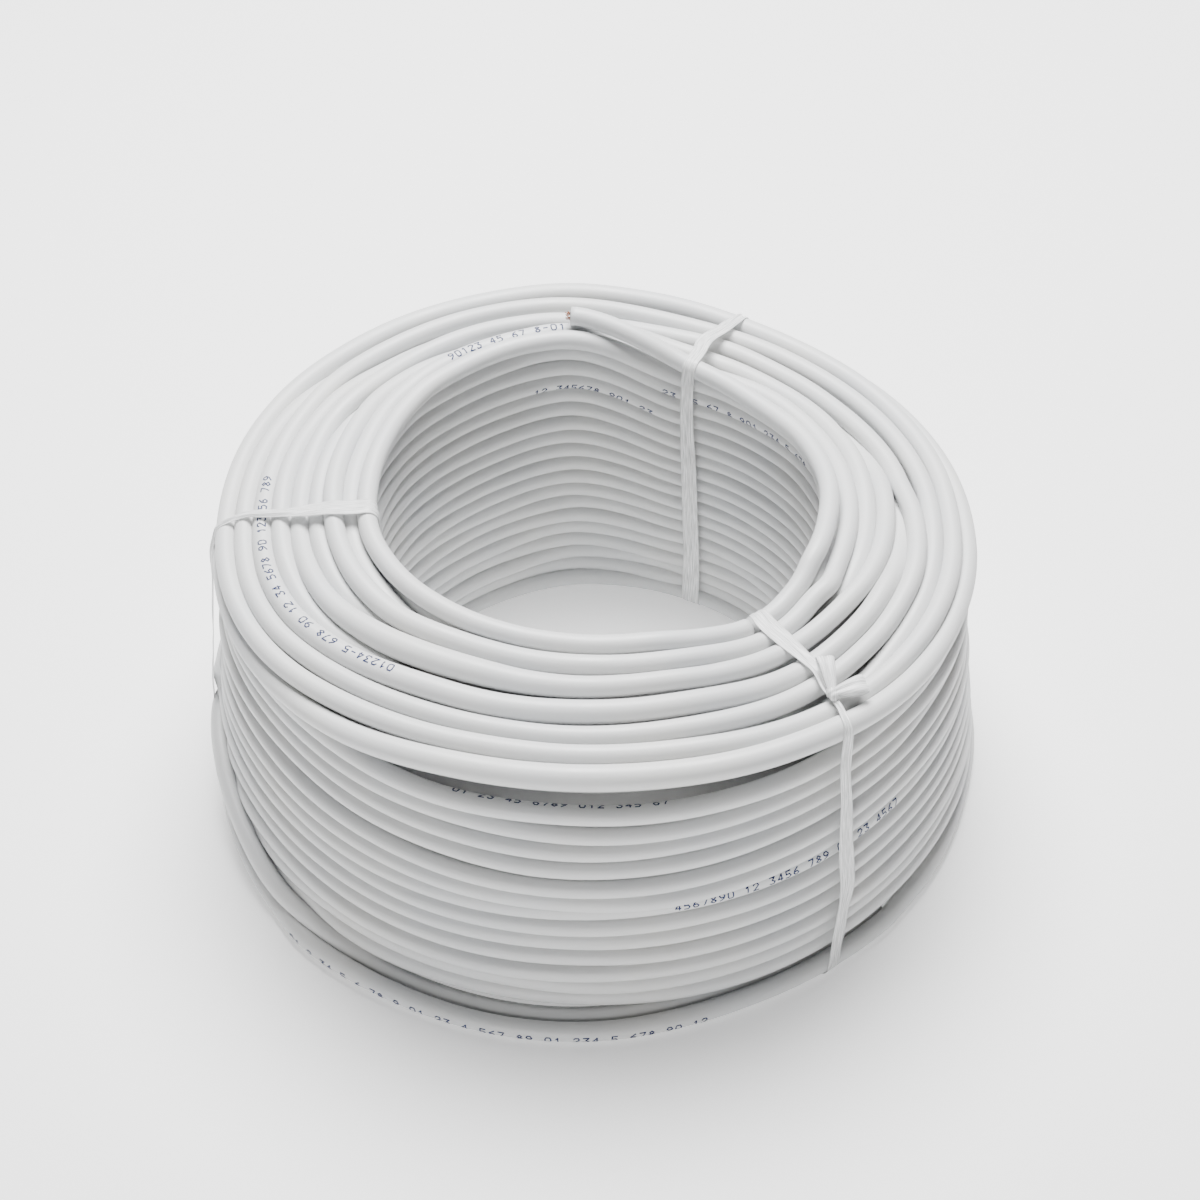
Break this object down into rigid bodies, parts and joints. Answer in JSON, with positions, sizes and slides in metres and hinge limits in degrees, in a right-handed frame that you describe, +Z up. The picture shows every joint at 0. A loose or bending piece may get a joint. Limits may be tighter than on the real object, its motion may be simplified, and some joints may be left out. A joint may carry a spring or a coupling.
{
  "type": "coil of electrical wire",
  "caption": "Ring-shaped coil of white round PVC-sheathed flex in close layers, a free cut end on top, held by thin plastic ribbon ties.",
  "frame": {"origin": "on the floor at the centre of the coil's bore, the centre of the bottom of its box", "axes": "+Z up along the bore's axis, +X to the right and -Y towards the picture's camera"},
  "size_m": [0.2785, 0.2778, 0.1244],
  "materials": {
    "cable_sheath": "satin extruded PVC",
    "bare_copper": "cut strand ends, copper coloured",
    "tie_ribbon": "fibrous translucent white ribbon"
  },
  "bodies": {
    "root": {"cable_coil": "cable_sheath", "cable_tail": "cable_sheath", "conductor_end_inner": "bare_copper", "conductor_end_outer": "bare_copper", "tie_back": "tie_ribbon", "tie_front": "tie_ribbon", "tie_left": "tie_ribbon"}
  },
  "joints": []
}
